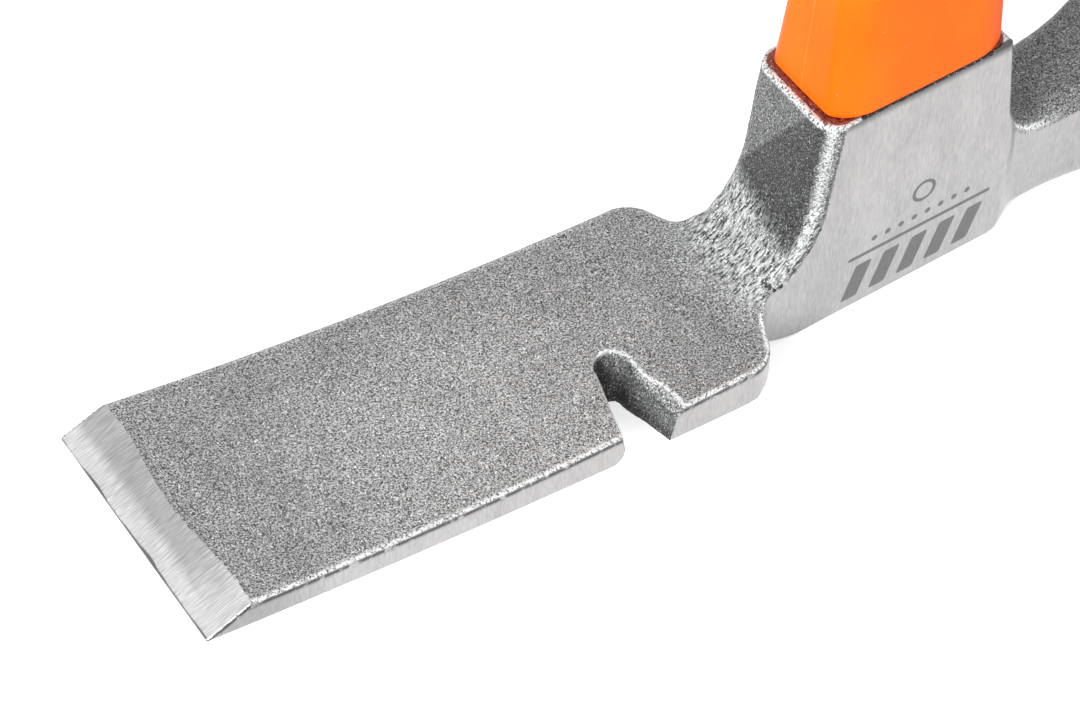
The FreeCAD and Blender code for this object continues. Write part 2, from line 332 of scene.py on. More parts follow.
def lattice_noise(points, cell, seed):
    """Smooth noise from -1 to 1, with bumps about as wide as cell (one size, or one per axis)."""
    count = 64
    lattice = np.random.default_rng(seed).uniform(-1, 1, (count, count, count)).astype(np.float32)
    place = points / np.array(cell) + 17.3
    base = np.floor(place).astype(int)
    t = place - base
    t = t * t * (3 - 2 * t)
    total = np.zeros(len(points))
    for corner in range(8):
        offset = np.array([corner & 1, corner >> 1 & 1, corner >> 2 & 1])
        weight = np.prod(np.where(offset, t, 1 - t), axis=1)
        index = (base + offset) % count
        total += weight * lattice[index[:, 0], index[:, 1], index[:, 2]]
    return total


def distance_gradient(distance, points):
    """Which way, and how fast, distance grows at each point."""
    step = 0.05
    columns = []
    for axis in range(3):
        shift = np.zeros(3)
        shift[axis] = step
        ahead = distance(*(points + shift).T)
        behind = distance(*(points - shift).T)
        columns.append((ahead - behind) / (2 * step))
    return np.stack(columns, axis=1)


def solid_mesh(name, distance, low, high, cell, relief=None):
    """Mesh the surface where distance is 0, push it out by relief(points), and keep it between
    low and high. Three short steps along the slope settle the points on the true surface."""
    pad = 3 * cell
    axes = [np.arange(start - pad, end + pad, cell) for start, end in zip(low, high)]
    x, y, z = np.meshgrid(*axes, indexing="ij", sparse=True)
    shape = [len(axis) for axis in axes]
    field = np.broadcast_to(np.clip(distance(x, y, z), -2, 2), shape)
    grid = openvdb.FloatGrid(2.0)
    grid.copyFromArray(np.ascontiguousarray(field, dtype=np.float32))
    grid.transform = openvdb.createLinearTransform(voxelSize=1.0)
    points, triangles, quads = grid.convertToPolygons(isovalue=0.0, adaptivity=0.0)
    points = points.astype(float) * cell + np.array([axis[0] for axis in axes])
    for _ in range(3):
        slope = distance_gradient(distance, points)
        step = distance(*points.T) / np.maximum((slope ** 2).sum(axis=1), 0.25)
        points -= np.clip(step, -0.3, 0.3)[:, None] * slope
    if relief is not None:
        slope = distance_gradient(distance, points)
        normal = slope / np.maximum(np.linalg.norm(slope, axis=1), 0.2)[:, None]
        points += normal * relief(points)[:, None]
    points = np.clip(points, low, high)
    faces = [face[::-1] for face in quads.tolist() + triangles.tolist()]
    mesh = bpy.data.meshes.new(name)
    mesh.from_pydata(points * MM, [], faces)
    mesh.polygons.foreach_set("use_smooth", [True] * len(mesh.polygons))
    mesh.update()
    piece = bpy.data.objects.new(name, mesh)
    bpy.context.scene.collection.objects.link(piece)
    return piece, points


def add_attribute(piece, name, values):
    layer = piece.data.attributes.new(name, "FLOAT", "POINT")
    layer.data.foreach_set("value", np.asarray(values, np.float32))


def stands_for(piece, node, material):
    """The piece replaces a CAD node, rides with it and takes its finish."""
    piece.data.materials.append(material)
    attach(piece, "root")
    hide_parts(node)


# ---------------------------------------------------------------- material helpers

class Finish:
    """A Principled material, with short calls for the nodes that feed it. Sizes are millimetres."""

    def __init__(self, name, inputs=()):
        self.material = bpy.data.materials.new(name)
        self.material.use_nodes = True
        self.tree = self.material.node_tree
        self.shader = self.tree.nodes["Principled BSDF"]
        self.place = self.node("ShaderNodeTexCoord").outputs["Object"]
        for key, value in dict(inputs).items():
            self.feed(self.shader.inputs[key], value)

    def node(self, kind, **settings):
        made = self.tree.nodes.new(kind)
        for key, value in settings.items():
            setattr(made, key, value)
        return made

    def feed(self, socket, value):
        """Set an input to a number or a colour, or link another node's output to it."""
        if isinstance(value, bpy.types.NodeSocket):
            self.tree.links.new(value, socket)
        else:
            socket.default_value = value

    def noise(self, size, detail=2.0, roughness=0.55, stretch=(1, 1, 1), turn=0.0, shift=0.0):
        """Noise about 0.5, with bumps as wide as size, longer along the axes with a large stretch.
        turn tilts the axes about Y, in degrees."""
        mapping = self.node("ShaderNodeMapping", vector_type="TEXTURE")
        self.feed(mapping.inputs["Vector"], self.place)
        mapping.inputs["Location"].default_value = (shift, shift, shift)
        mapping.inputs["Rotation"].default_value = (0, math.radians(turn), 0)
        mapping.inputs["Scale"].default_value = [size * MM * factor for factor in stretch]
        noise = self.node("ShaderNodeTexNoise")
        self.feed(noise.inputs["Vector"], mapping.outputs["Vector"])
        noise.inputs["Scale"].default_value = 1.0
        noise.inputs["Detail"].default_value = detail
        noise.inputs["Roughness"].default_value = roughness
        return noise.outputs["Fac"]

    def axis(self, name):
        """X, Y or Z of the surface point, in millimetres."""
        split = self.node("ShaderNodeSeparateXYZ")
        self.feed(split.inputs[0], self.place)
        return self.math("MULTIPLY", split.outputs[name], 1 / MM)

    def attribute(self, name):
        """A number that the mesh carries at its points."""
        return self.node("ShaderNodeAttribute", attribute_name=name).outputs["Fac"]

    def math(self, operation, first, second=0.0, third=0.0):
        made = self.node("ShaderNodeMath", operation=operation)
        for socket, value in zip(made.inputs, (first, second, third)):
            self.feed(socket, value)
        return made.outputs[0]

    def band(self, value, low, high):
        """0 where value is below low, 1 above high, with a smooth step between."""
        made = self.node("ShaderNodeMapRange", interpolation_type="SMOOTHSTEP")
        for key, number in (("Value", value), ("From Min", low), ("From Max", high)):
            self.feed(made.inputs[key], number)
        return made.outputs["Result"]

    def blend(self, factor, first, second):
        """first where factor is 0, second where it is 1: both numbers or both colours.
        The node keeps its inputs and outputs for numbers and for colours at different places."""
        colours = any(isinstance(value, tuple) or getattr(value, "type", "") == "RGBA"
                      for value in (first, second))
        made = self.node("ShaderNodeMix", data_type="RGBA" if colours else "FLOAT")
        start = 6 if colours else 2
        self.feed(made.inputs[0], factor)
        self.feed(made.inputs[start], first)
        self.feed(made.inputs[start + 1], second)
        return made.outputs[2 if colours else 0]

    def all_of(self, *factors):
        """The product of masks: 1 only where every one of them is 1."""
        total = factors[0]
        for factor in factors[1:]:
            total = self.math("MULTIPLY", total, factor)
        return total

    def bump(self, height, depth, after=None):
        """Tilt the surface as if height, from 0 to 1, were depth millimetres."""
        made = self.node("ShaderNodeBump")
        made.inputs["Distance"].default_value = depth * MM
        self.feed(made.inputs["Height"], height)
        if after is not None:
            self.feed(made.inputs["Normal"], after)
        return made.outputs["Normal"]

    def done(self, colour, roughness, normal):
        self.feed(self.shader.inputs["Base Color"], colour)
        self.feed(self.shader.inputs["Roughness"], roughness)
        self.feed(self.shader.inputs["Normal"], normal)
        return self.material


# ---------------------------------------------------------------- forged head

def ground_margin(x, y, z):
    """Millimetres into a ground flat: above 0 on the cheeks, edges, crown and poll. The heel's
    edges and the neck's sides are ground over their roundings as well."""
    wide = np.abs(y)
    cheek = cheek_distance(y)
    heel_edge = (x > 14) & (x < 31)
    neck_side = (x > 19) & (x < 42) & (z < 17)
    crown = x > SHOULDER_X + 14
    flats = np.where(x < SHOULDER_X + 5.5, plan_distance(x, y), cheek)
    flats = np.maximum(flats, np.where(x > 20, wide - poll_half_width(x), -9))
    flats = np.maximum(flats, np.where(heel_edge, cheek + 1.0, -9))
    flats = np.maximum(flats, np.where(neck_side, wide - NECK_HALF_WIDTH + 1.1, -9))
    flats = np.maximum(flats, np.where(crown, -z, -9))
    flats = np.maximum(flats, np.where(x > POLL_X - 3, x - POLL_X + 2.6, -9))
    return flats + SKIN


def corner_turn(x, y, z):
    """Round the eye's front corners: 0 on the front, 1 on the cheek."""
    ahead = np.maximum(eye_front(x, z) + CORNER_RADIUS, 0)
    aside = np.maximum(cheek_distance(y) + CORNER_RADIUS, 0)
    return np.arctan2(aside, ahead + 1e-6) * 2 / np.pi


def wear_and_highlight_amount(x, y, z):
    """Up to 1 where highlights are painted onto the forging, partly also standing for wear from
    handling and tumbling: its edges, the notch's edge, the eye's front corners and rim, and the neck
    beside the heel."""
    height = z - blade_top(x)
    outline = np.where(x < -50, np.abs(y) - blade_half_width(x), plan_distance(x, y))
    # Painted highlight along the blade's top edges, strongest on the -Y side.
    edge = smooth_step(-1.0, -0.55, outline) * np.where(y < 0, 1.0, 0.3)
    edge = edge * smooth_step(-0.6, -0.2, height) * (x < SHOULDER_X + 4)
    shoulder = smooth_step(-0.9, -0.3, plan_distance(x, y)) * (x > SHOULDER_X) * (x < SHOULDER_X + 12)
    shoulder = shoulder * smooth_step(-2.0, -0.8, height) * (1 - smooth_step(0.3, 1.0, height)) * (y < 0)
    notch = 1 - smooth_step(0.15, 0.5, notch_distance(x, y, z))
    notch = notch * smooth_step(-0.45, -0.1, height) * (x < -50)
    # Painted highlight on the rounding of the eye's front corners.
    corner = 0.32 * hump(corner_turn(x, y, z), 0.58, 0.08) * smooth_step(14, 24, z)
    corner = corner * (x < -10) * (x > SHOULDER_X)
    cheek_rim = (x > -13) & (x < 14) & (y < 0)
    # Painted highlight along the rim, kept off the rim above the -Y cheek.
    rim = smooth_step(RIM_Z - 1.2, RIM_Z - 0.5, z) * np.where(cheek_rim, 0.0, 0.7)
    # Painted highlight along the edge of the ground side of the neck beside the heel.
    neck = hump(ground_margin(x, y, z), -0.35, 0.3) * (x > 22) * (z > 12)
    neck = neck * (1 - smooth_step(26, 36, x))
    return np.maximum.reduce([edge, shoulder, notch, corner, rim, neck])


def notch_chamfer(x, y, z):
    """1 on the rough chamfer of the notch's +X wall, which widens towards the mouth."""
    flare = NOTCH_END_Y - y
    depth = blade_top(x) - z
    right = (x > -58) & (flare > 0)
    return right * smooth_step(1.0, 3.0, flare) * (1 - smooth_step(1.0, 1.5, depth - 0.04 * flare))


def scale_and_shade_amount(x, y, z):
    """Up to 1 where the forging is made darker: painted shade deep in the notch, scale on the poll, a
    painted shadow line along the -Y rim under the handle, a darker band where the front corners turn
    into the cheeks, and a painted shadow of the handle on the eye's front that is darkest below a
    slanting line and fades out towards the sweep."""
    depth = blade_top(x) - z
    # Painted shade deep in the notch, lighter on the chamfer of its +X wall.
    in_notch = 1 - smooth_step(0.25, 0.6, notch_distance(x, y, z))
    notch = in_notch * smooth_step(0.35, 0.9, depth) * (x < -50)
    notch = notch * (1 - 0.6 * notch_chamfer(x, y, z))
    notch = notch * (1 - 0.22 * smooth_step(-60, -58, x) * (1 - smooth_step(4.0, 6.0, depth)))
    # Painted shadow of the handle on the eye's front: darkest below a slanting line, and darker higher
    # up the front.
    line_z = 39.3 - 1.54 * y
    below_line = smooth_step(-0.5, 0.6, line_z - z)
    on_front = (x < -10) * (x > SHOULDER_X)
    handle_shadow = 0.92 * below_line * smooth_step(19.5, 24.5, z - 0.3 * y) * on_front
    handle_shadow = np.maximum(handle_shadow, 0.63 * smooth_step(22, 32, z) * on_front)
    turn = corner_turn(x, y, z)
    handle_shadow = handle_shadow * (1 - smooth_step(0.34, 0.48, turn) * (y < 0))
    # A darker band where the eye's front corners turn into the cheeks.
    corner_band = 0.75 * hump(turn, 0.86, 0.12) * smooth_step(14, 20, z) * on_front
    poll = smooth_step(19, 23, x) * 0.42
    # Painted shadow line along the rim above the -Y cheek, where the handle's end meets it.
    cheek_rim = (x > -13) * (x < 14) * (y < 4 - EYE_HALF_WIDTH)
    rim = smooth_step(RIM_Z - 0.9, RIM_Z - 0.6, z) * cheek_rim
    return np.maximum.reduce([notch, handle_shadow, corner_band, poll, rim])


def burr_shadow_amount(x, y, z):
    """1 along a painted shadow line just under the blade's top edges and its bevel, the shade cast by
    the ragged lip that grinding left there.
    """
    depth = blade_top(x) - z
    on_wall = smooth_step(-0.40, -0.15, plan_distance(x, y)) * (x < SHOULDER_X + 1)
    under_bevel = hump(bevel_distance(x, y, z), -0.35, 0.35) * (x < EDGE_X + BEVEL_LENGTH + 2)
    return np.maximum(hump(depth, 0.7, 0.45), under_bevel) * on_wall


def sweep_amount(x, y, z):
    """1 on the concave front of the eye, where the forging is coarse and streaked."""
    along = smooth_step(-41, -31, x) * (1 - smooth_step(-15, -12, x))
    top = 1 - smooth_step(24, 30, z + 0.35 * y)
    return along * smooth_step(12.3, 14.5, z) * top


def mark_margin(x, y, z):
    """Millimetres into the plain etched pattern on the -Y cheek: bars, a line, dots and a ring."""
    middle_x, bars_z, line_z, dots_z, ring_z = 2.2, 6.2, 12.3, 15.2, 21.0
    slant = 0.35
    shapes = []
    for number in range(5):
        bar_x = -10.6 + 5.9 * number
        off_bar = x - bar_x - slant * (z - bars_z)
        shapes.append(rounded_box_plan(off_bar, z - bars_z, 1.7, 3.9, 0.5))
    shapes.append(rounded_box_plan(x - middle_x, z - line_z, 15.0, 0.42, 0.3))
    for number in range(8):
        dot_x = -7.6 + 2.8 * number
        shapes.append(np.hypot(x - dot_x, z - dots_z) - 0.62)
    shapes.append(np.abs(np.hypot(x - middle_x, z - ring_z) - 2.1) - 0.36)
    margin = -np.minimum.reduce(shapes)
    return np.where(y < 0.3 - EYE_HALF_WIDTH, margin, -9.0)


def head_relief(points):
    """Forged unevenness, with coarse streaks up the sweep. It is left off the ground flats, the
    bevel and the eye's hole."""
    x, y, z = points.T
    rough = 1 - smooth_step(-0.5, 0.1, ground_margin(x, y, z))
    rough *= smooth_step(0.0, 0.5, -bevel_distance(x, y, z))
    rough *= smooth_step(-0.1, 0.8, hole_distance(x, y, z))
    relief = 0.10 * lattice_noise(points, 7.0, 1) + 0.05 * lattice_noise(points, 2.4, 2)
    relief += 0.05 * lattice_noise(points, 1.0, 3) - 0.08
    up_sweep = np.stack([(x + z) / math.sqrt(2), y, (z - x) / math.sqrt(2)], axis=1)
    relief += 0.11 * sweep_amount(x, y, z) * lattice_noise(up_sweep, (3.2, 1.1, 1.6), 4)
    return relief * rough


def make_head():
    """The forged head, which carries the masks that its material reads."""
    head, points = solid_mesh("forged_head", head_distance, HEAD_LOW, HEAD_HIGH, HEAD_CELL, head_relief)
    x, y, z = points.T
    add_attribute(head, "ground", ground_margin(x, y, z))
    add_attribute(head, "bevel", np.where(x < EDGE_X + 14, bevel_distance(x, y, z) + SKIN, -9))
    add_attribute(head, "wear_and_highlight", wear_and_highlight_amount(x, y, z))
    add_attribute(head, "scale_and_shade", scale_and_shade_amount(x, y, z))
    add_attribute(head, "burr_shadow", burr_shadow_amount(x, y, z))
    add_attribute(head, "sweep", sweep_amount(x, y, z))
    add_attribute(head, "mark", mark_margin(x, y, z))
    stands_for(head, "adze_head", steel_finish())


def forged_tone(f, sweep, scale_and_shade, wear_and_highlight):
    """Shot-blasted forging: fine pits and bright specks painted in as glints, streaks up the sweep, and
    a brighter stretch where the blade's -Y side is rubbed. Speckled painted highlights go on the edges
    and rims. Also gives the pits, for the bump."""
    grain = f.noise(0.30, detail=1.5, roughness=0.7)
    streak = f.noise(0.36, detail=2.0, roughness=0.6, stretch=(4.0, 1, 1.2), turn=-45)
    pits = f.band(f.blend(sweep, grain, streak), 0.35, 0.65)
    specks = f.band(f.noise(0.30, detail=1.0, shift=0.3), 0.60, 0.70)
    broad = f.noise(9.0, detail=3.0)
    low = f.blend(scale_and_shade, f.blend(sweep, 0.05, 0.01), 0.003)
    high = f.blend(scale_and_shade, f.blend(sweep, 0.50, 0.54), 0.03)
    tone = f.blend(pits, low, high)
    # Bright specks painted in as glints on the blasted skin, fewer where it is made darker.
    tone = f.blend(f.all_of(specks, f.blend(scale_and_shade, 0.8, 0.30)), tone, 0.95)
    tone = f.math("MULTIPLY", tone, f.math("MULTIPLY_ADD", broad, 0.4, 0.80))
    near_side = f.math("SUBTRACT", 1.0, f.band(f.axis("Y"), 2.0, 20.0))
    ahead_of_eye = f.math("SUBTRACT", 1.0, f.band(f.axis("X"), -80.0, -40.0))
    rubbed = f.all_of(near_side, ahead_of_eye, f.band(f.axis("X"), -128.0, -100.0))
    tone = f.math("MULTIPLY", tone, f.math("MULTIPLY_ADD", rubbed, 0.22, 0.84))
    # Speckled painted highlights along edges and rims, partly standing for wear.
    shine = f.all_of(wear_and_highlight, f.band(f.noise(0.40, detail=2.0, shift=0.7), 0.38, 0.54))
    return f.blend(shine, tone, 0.90), pits


def ground_tone(f, blade):
    """Linished flats: fine upright lines, and a darker tone on the blade's edges close to the
    cutting edge. Also gives the lines, for the bump."""
    lines = f.noise(0.30, detail=2.0, stretch=(1, 1, 7))
    clouds = f.noise(6.0, detail=2.0, stretch=(1, 1, 3))
    edge_level = f.math("MULTIPLY_ADD", f.band(f.axis("X"), -134.0, -112.0), 0.10, 0.245)
    level = f.blend(blade, 0.345, edge_level)
    tone = f.math("MULTIPLY", level, f.math("MULTIPLY_ADD", lines, 0.6, 0.70))
    return f.math("MULTIPLY", tone, f.math("MULTIPLY_ADD", clouds, 0.3, 0.85)), lines


def bevel_tone(f):
    """The ground bevel: fine scratches across it, a painted highlight band near the cutting edge that
    stands for the bevel's convex roll, brighter towards the -Y corner, and a painted line of shade
    along the edge itself. Also gives the scratches, for the bump."""
    lines = f.noise(0.16, detail=1.0, stretch=(22, 1, 11))
    clouds = f.noise(5.0, detail=2.0, stretch=(1, 2, 1), shift=0.4)
    from_edge = f.math("SUBTRACT", f.axis("X"), float(EDGE_X))
    from_edge = f.math("MULTIPLY_ADD", clouds, 1.6, from_edge)
    # Painted highlight band near the cutting edge, standing for the bevel's convex roll.
    near_edge = f.math("SUBTRACT", 1.0, f.band(from_edge, 3.0, 5.0))
    corner = f.math("SUBTRACT", 1.0, f.band(f.axis("Y"), -22.0, -8.0))
    level = f.blend(f.math("MAXIMUM", near_edge, corner), 0.53, 0.79)
    tone = f.math("MULTIPLY", level, f.math("MULTIPLY_ADD", lines, 1.3, 0.35))
    tone = f.math("MULTIPLY", tone, f.math("MULTIPLY_ADD", clouds, 0.3, 0.85))
    # Painted line of shade along the cutting edge itself.
    edge_shade = f.math("SUBTRACT", 1.0, f.band(from_edge, 1.0, 1.3))
    return f.blend(edge_shade, tone, 0.20), lines


def steel_finish():
    """Forged skin, ground flats and bevel, each where the mesh's masks say, with ragged borders, a
    painted shadow line under the grinding lip and painted shade under the handle.
    """
    f = Finish("forged_steel")
    ragged = f.math("MULTIPLY_ADD", f.noise(0.8, detail=2.0, shift=1.1), 0.16, -0.08)
    ground = f.band(f.math("ADD", f.attribute("ground"), ragged), -0.04, 0.03)
    bevel = f.band(f.math("ADD", f.attribute("bevel"), ragged), -0.03, 0.03)
    scale_and_shade, sweep, wear_and_highlight = f.attribute("scale_and_shade"), f.attribute("sweep"), f.attribute("wear_and_highlight")
    blade = f.math("SUBTRACT", 1.0, f.band(f.axis("X"), -34.0, -28.0))
    forged, pits = forged_tone(f, sweep, scale_and_shade, wear_and_highlight)
    flat, flat_lines = ground_tone(f, blade)
    bevelled, bevel_lines = bevel_tone(f)
    # Painted shadow line under the ragged lip that grinding left along the top edges.
    burr_shadow = f.all_of(f.attribute("burr_shadow"), f.band(f.noise(1.3, detail=3.0, shift=0.9), 0.32, 0.48))
    tone = f.blend(ground, forged, flat)
    tone = f.blend(burr_shadow, tone, 0.02)
    tone = f.blend(bevel, tone, bevelled)
    # Painted shade on the ground cheeks just under the handle's end.
    shade_under_handle = f.all_of(f.band(f.axis("Z"), float(RIM_Z) - 2.2, float(RIM_Z) - 0.5), ground)
    tone = f.math("MULTIPLY", tone, f.blend(shade_under_handle, 1.0, 0.45))
    etched = f.band(f.attribute("mark"), -0.05, 0.05)
    tone = f.blend(etched, tone, f.math("MULTIPLY_ADD", flat_lines, 0.05, 0.10))
    machined = f.math("MAXIMUM", ground, bevel)
    tint = f.blend(machined, (0.97, 1.0, 1.0, 1.0), (1.0, 1.0, 1.0, 1.0))
    colour = f.blend(tone, (0.0, 0.0, 0.0, 1.0), tint)
    normal = f.bump(f.blend(machined, pits, 0.5), 0.075)
    normal = f.bump(f.blend(bevel, flat_lines, bevel_lines), 0.006, normal)
    roughness = f.blend(machined, f.blend(pits, 0.62, 0.45), 0.33)
    f.feed(f.shader.inputs["Metallic"], f.blend(machined, f.blend(wear_and_highlight, 0.10, 0.25), 1.0))
    return f.done(colour, roughness, normal)


# ---------------------------------------------------------------- handle

# Outer sections of the handle, in millimetres: height, front X, back X, half width.
JACKET_SECTIONS = (
    (JACKET_LOW[2], -17.7, 17.6, 10.5),
    (60.0, -16.7, 17.4, 9.6),
    (76.0, -15.5, 17.0, 8.7),
    (110.0, -14.0, 15.6, 8.2),
    (150.0, -13.4, 14.4, 8.4),
    (SLEEVE_LOW[2], -14.0, 14.6, 9.2),
)
SLEEVE_SECTIONS = (
    (SLEEVE_LOW[2], -15.6, 16.2, 10.8),
    (205.0, -16.8, 17.4, 12.0),
    (240.0, -16.0, 17.8, 12.6),
    (275.0, -15.6, 17.0, 12.2),
    (295.0, -17.6, 17.0, 12.4),
    (CAP_LOW[2], -20.4, 17.4, 13.0),
)
CAP_SECTIONS = (
    (CAP_LOW[2], -20.4, 17.4, 13.0),
    (317.0, -21.0, 17.6, 13.0),
    (CAP_HIGH[2], -18.0, 15.0, 10.6),
)
HANG_HOLE_X = -1.8
HANG_HOLE_Z = 315.5
HANG_HOLE_RADIUS = 4.0
WINDOW_X = 0.6
WINDOW_HEIGHTS = [212.0 + 20.0 * number for number in range(4)]
WINDOW_SLANT = math.radians(24)
WINDOW_HALF_LENGTH = 8.0
WINDOW_HALF_HEIGHT = 4.0
WINDOW_CORNER = 3.0

# How far the corners of the bare neck and of the grip run round each face: along X, along Y.
NECK_REACH = (7.0, 4.2)
GRIP_REACH = (8.0, 8.0)


def smooth_curve(heights, values, z):
    """A smooth curve through values given at heights."""
    slopes = np.gradient(values, heights)
    index = np.clip(np.searchsorted(heights, z) - 1, 0, len(heights) - 2)
    span = heights[index + 1] - heights[index]
    t = np.clip((z - heights[index]) / span, 0, 1)
    start = values[index] * (1 + 2 * t) * (1 - t) ** 2 + slopes[index] * span * t * (1 - t) ** 2
    end = values[index + 1] * t * t * (3 - 2 * t) - slopes[index + 1] * span * t * t * (1 - t)
    return start + end


def handle_distance(x, y, z, sections, reach, edge=0.5, inset=0.0):
    """The handle between its first and last section. Its corners run reach = (along X, along Y)
    round each face, its faces are slightly crowned, its two end edges have radius edge, and inset
    draws its sides in."""
    columns = np.array(sections).T
    front, back, half_width = (smooth_curve(columns[0], column, z) for column in columns[1:])
    half_x = (back - front) / 2 - inset
    half_y = half_width - inset
    off_middle = x - (back + front) / 2
    side_x = half_x - 0.15 * np.clip(y / half_y, -1, 1) ** 2
    side_y = half_y - 0.15 * np.clip(off_middle / half_x, -1, 1) ** 2
    dx = (np.abs(off_middle) - side_x) / reach[0] + 1
    dy = (np.abs(y) - side_y) / reach[1] + 1
    round_part = np.hypot(np.maximum(dx, 0), np.maximum(dy, 0))
    wall = (round_part + np.minimum(np.maximum(dx, dy), 0) - 1) * min(reach)
    wall = round_max(wall, columns[0][0] - z, edge)
    return round_max(wall, z - columns[0][-1], edge)


def window_distance(x, z):
    """Outside the nearest of the grip's slanted windows, seen from the side."""
    cosine, sine = math.cos(WINDOW_SLANT), math.sin(WINDOW_SLANT)
    windows = []
    for height in WINDOW_HEIGHTS:
        along = (x - WINDOW_X) * cosine + (z - height) * sine
        across = (z - height) * cosine - (x - WINDOW_X) * sine
        window = rounded_box_plan(along, across, WINDOW_HALF_LENGTH, WINDOW_HALF_HEIGHT, WINDOW_CORNER)
        windows.append(window)
    return np.minimum.reduce(windows)


def jacket_distance(x, y, z):
    """The handle's bare neck, and the pads that show through the grip's windows."""
    neck = handle_distance(x, y, z, JACKET_SECTIONS, NECK_REACH, edge=0.3)
    pads = handle_distance(x, y, z, SLEEVE_SECTIONS, GRIP_REACH, inset=0.5)
    pads = round_max(pads, window_distance(x, z) + 0.15, 0.8)
    return np.minimum(neck, pads)


def sleeve_distance(x, y, z):
    """The grip: windows with raised lips on its sides, and finger grooves front and back."""
    groove_start, groove_pitch = 200, 6.0
    body = handle_distance(x, y, z, SLEEVE_SECTIONS, GRIP_REACH, edge=1.2)
    window = window_distance(x, z)
    lip = 0.35 * hump(window, 1.1, 0.8) * smooth_step(8, 10, np.abs(y))
    gripped = smooth_step(196, 204, z) * (1 - smooth_step(290, 298, z))
    grooves = np.cos(2 * np.pi * (z - groove_start) / groove_pitch) * 0.5 + 0.5
    grooves = 0.7 * grooves ** 2 * gripped * (1 - smooth_step(6.5, 9.5, np.abs(y)))
    collar = 0.35 * hump(z, SLEEVE_LOW[2] + 3.0, 1.8)
    body = body - lip * gripped - collar + grooves
    return round_max(body, -np.maximum(window, 7.5 - np.abs(y)), 0.4)


def cap_distance(x, y, z):
    """The handle's hard end, with a seam groove and the hole that it hangs by."""
    body = handle_distance(x, y, z, CAP_SECTIONS, GRIP_REACH, edge=1.4)
    hole = np.hypot(x - HANG_HOLE_X, z - HANG_HOLE_Z) - HANG_HOLE_RADIUS
    seam = 0.5 * hump(z, CAP_LOW[2] + 2.6, 0.45)
    return round_max(body + seam, -hole, 0.9)


def seal_distance(x, y, z):
    """The ring of hardened adhesive in the rim's seat, open in its middle for the core."""
    core = rounded_box_plan(x, y, CORE_HALF_LENGTH, CORE_HALF_WIDTH, CORE_CORNER)
    ring = round_max(seat_plan(x, y), -core, 0.1)
    ring = round_max(ring, SEAL_LOW[2] - z, 0.1)
    return round_max(ring, z - SEAL_HIGH[2], 0.2)


def seal_relief(points):
    """Lumps on the seal's top, all of them below the CAD seal's top face."""
    up = smooth_step(SEAL_HIGH[2] - 0.3, SEAL_HIGH[2], points[:, 2])
    return up * (0.10 * lattice_noise(points, 1.6, 11) + 0.06 * lattice_noise(points, 0.7, 12) - 0.16)


def sleeve_relief(points):
    """A faint unevenness, sunk so that it doesn't make the grip thicker."""
    return 0.03 * lattice_noise(points, 1.4, 21) - 0.03


def make_handle():
    """The handle's pieces and the seal. The resin and the core keep their CAD meshes and get a
    material."""
    jacket, _ = solid_mesh("handle_neck", jacket_distance, JACKET_LOW, JACKET_HIGH, HANDLE_CELL)
    stands_for(jacket, "handle_jacket", orange_finish())
    sleeve, _ = solid_mesh("grip", sleeve_distance, SLEEVE_LOW - 1, SLEEVE_HIGH + 1, HANDLE_CELL,
                           sleeve_relief)
    stands_for(sleeve, "grip_sleeve", rubber_finish())
    cap, _ = solid_mesh("butt", cap_distance, CAP_LOW - 1, CAP_HIGH + 1, CAP_CELL)
    stands_for(cap, "butt_cap", black_finish())
    seal, _ = solid_mesh("adhesive_ring", seal_distance, SEAL_LOW, SEAL_HIGH, SEAL_CELL, seal_relief)
    stands_for(seal, "eye_seal", seal_finish())
    for node, material in (("eye_resin", resin_finish()), ("fibreglass_core", fibre_finish())):
        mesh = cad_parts[node].data
        mesh.materials.clear()
        mesh.materials.append(material)


def orange_finish():
    """Moulded hard plastic: faint flow clouds, specks of dust, a parting line front and back."""
    f = Finish("orange_plastic", {"Specular IOR Level": 0.06})
    clouds = f.noise(14.0, detail=3.0, stretch=(1, 1, 2))
    specks = f.band(f.noise(0.55, detail=1.0, shift=0.2), 0.76, 0.80)
    fine = f.noise(0.35, detail=2.0)
    line = f.math("SUBTRACT", 1.0, f.band(f.math("ABSOLUTE", f.axis("Y")), 0.03, 0.13))
    colour = f.blend(f.band(clouds, 0.3, 0.7), (0.95, 0.100, 0.002, 1.0), (0.95, 0.126, 0.003, 1.0))
    colour = f.blend(f.math("MULTIPLY", specks, 0.5), colour, (1.0, 0.4, 0.2, 1.0))
    colour = f.blend(f.math("MULTIPLY", line, 0.35), colour, (1.0, 0.30, 0.06, 1.0))
    normal = f.bump(fine, 0.006)
    normal = f.bump(line, 0.05, normal)
    roughness = f.math("MULTIPLY_ADD", clouds, 0.2, 0.28)
    return f.done(colour, roughness, normal)


def rubber_finish():
    """Soft black grip: a fine leathery grain, paler on its high spots, and clouds of dust."""
    f = Finish("black_rubber", {"Specular IOR Level": 0.25})
    grain = f.noise(0.9, detail=3.0, roughness=0.6)
    dust = f.band(f.noise(7.0, detail=4.0, shift=0.5), 0.45, 0.75)
    colour = f.blend(f.band(grain, 0.35, 0.65), (0.004, 0.004, 0.005, 1.0), (0.016, 0.016, 0.017, 1.0))
    colour = f.blend(f.math("MULTIPLY", dust, 0.3), colour, (0.050, 0.048, 0.046, 1.0))
    normal = f.bump(grain, 0.09)
    normal = f.bump(f.noise(0.3, detail=1.0), 0.03, normal)
    return f.done(colour, f.math("MULTIPLY_ADD", dust, 0.2, 0.58), normal)


